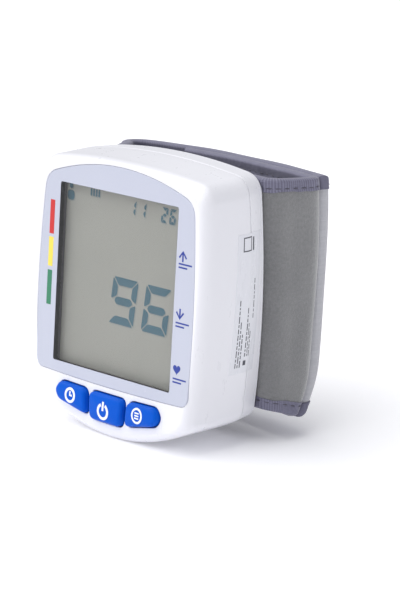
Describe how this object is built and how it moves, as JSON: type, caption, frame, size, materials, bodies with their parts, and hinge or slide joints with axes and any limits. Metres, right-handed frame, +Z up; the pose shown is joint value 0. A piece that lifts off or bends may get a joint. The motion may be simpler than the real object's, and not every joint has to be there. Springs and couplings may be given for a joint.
{
  "type": "wrist blood pressure monitor",
  "caption": "Wrist blood pressure monitor: rounded white housing with a large display and blue keys, on a grey wrap-around cloth cuff with a hook-and-loop flap.",
  "frame": {"origin": "centre of the flat foot under the housing", "axes": "+Z up, square to the surface it stands on; +X to the right seen from the front; +Y to the back, towards the cuff"},
  "size_m": [0.0787, 0.0574, 0.0764],
  "materials": {
    "white_case": "satin white moulding",
    "blue_key": "glossy blue",
    "lens": "clear with a printed silver border",
    "gasket": "matt dark grey",
    "display": "grey reflective liquid crystal",
    "black_plastic": "matt black",
    "grey_plastic": "matt light grey",
    "board": "green solder mask",
    "steel": "bright steel",
    "cell_jacket": "printed film over the can",
    "tube": "translucent silicone",
    "cloth": "brushed grey pile with a slate binding",
    "hook": "hook tape"
  },
  "bodies": {
    "housing": {"front_case": "white_case", "rear_cover": "white_case", "case_screw_1": "steel", "case_screw_2": "steel", "case_screw_3": "steel", "case_screw_4": "steel", "display_lens": "lens", "display_gasket": "gasket", "display_glass": "display", "display_holder": "black_plastic", "contact_strip_upper": "gasket", "contact_strip_lower": "gasket", "circuit_board": "board", "switch_body_clock": "black_plastic", "switch_body_power": "black_plastic", "switch_body_memory": "black_plastic", "control_chip": "black_plastic", "buzzer": "black_plastic", "pressure_sensor": "grey_plastic", "battery_tray": "grey_plastic", "battery_cell_1": "cell_jacket", "battery_cell_2": "cell_jacket", "battery_link": "steel", "battery_contact_1": "steel", "battery_contact_2": "steel", "pump_motor": "steel", "pump_head": "grey_plastic", "exhaust_valve": "steel", "air_manifold": "grey_plastic", "pump_tube": "tube", "sensor_tube": "tube", "cuff_base_panel": "cloth", "cuff_clamp_plate": "grey_plastic", "cuff_screw_upper": "steel", "cuff_screw_lower": "steel", "air_bladder": "cloth", "cuff_right_arm": "cloth", "cuff_left_panel": "cloth"},
    "clock_key": {"key_clock": "blue_key", "switch_plunger_clock": "black_plastic"},
    "power_key": {"key_power": "blue_key", "switch_plunger_power": "black_plastic"},
    "memory_key": {"key_memory": "blue_key", "switch_plunger_memory": "black_plastic"},
    "battery_door": {"battery_cover": "white_case"},
    "flap": {"closing_flap": "cloth", "hook_tape": "hook"}
  },
  "joints": [
    {"name": "clock_press", "type": "slide", "parent": "housing", "child": "clock_key", "axis": [0, 0.9973, -0.0732], "range_m": [0, 0.0007], "stiffness_N_per_m": 600, "springref_m": -0.0004},
    {"name": "power_press", "type": "slide", "parent": "housing", "child": "power_key", "axis": [0, 0.9973, -0.0732], "range_m": [0, 0.0007], "stiffness_N_per_m": 600, "springref_m": -0.0004},
    {"name": "memory_press", "type": "slide", "parent": "housing", "child": "memory_key", "axis": [0, 0.9973, -0.0732], "range_m": [0, 0.0007], "stiffness_N_per_m": 600, "springref_m": -0.0004},
    {"name": "battery_cover_slide", "type": "slide", "parent": "housing", "child": "battery_door", "axis": [-1, 0, 0], "range_m": [0, 0.02]},
    {"name": "flap_open", "type": "hinge", "parent": "housing", "child": "flap", "pos_m": [-0.0423, 0.0275, 0.04105], "axis": [0, 0.0732, 0.9973], "range_deg": [0, 100]}
  ]
}
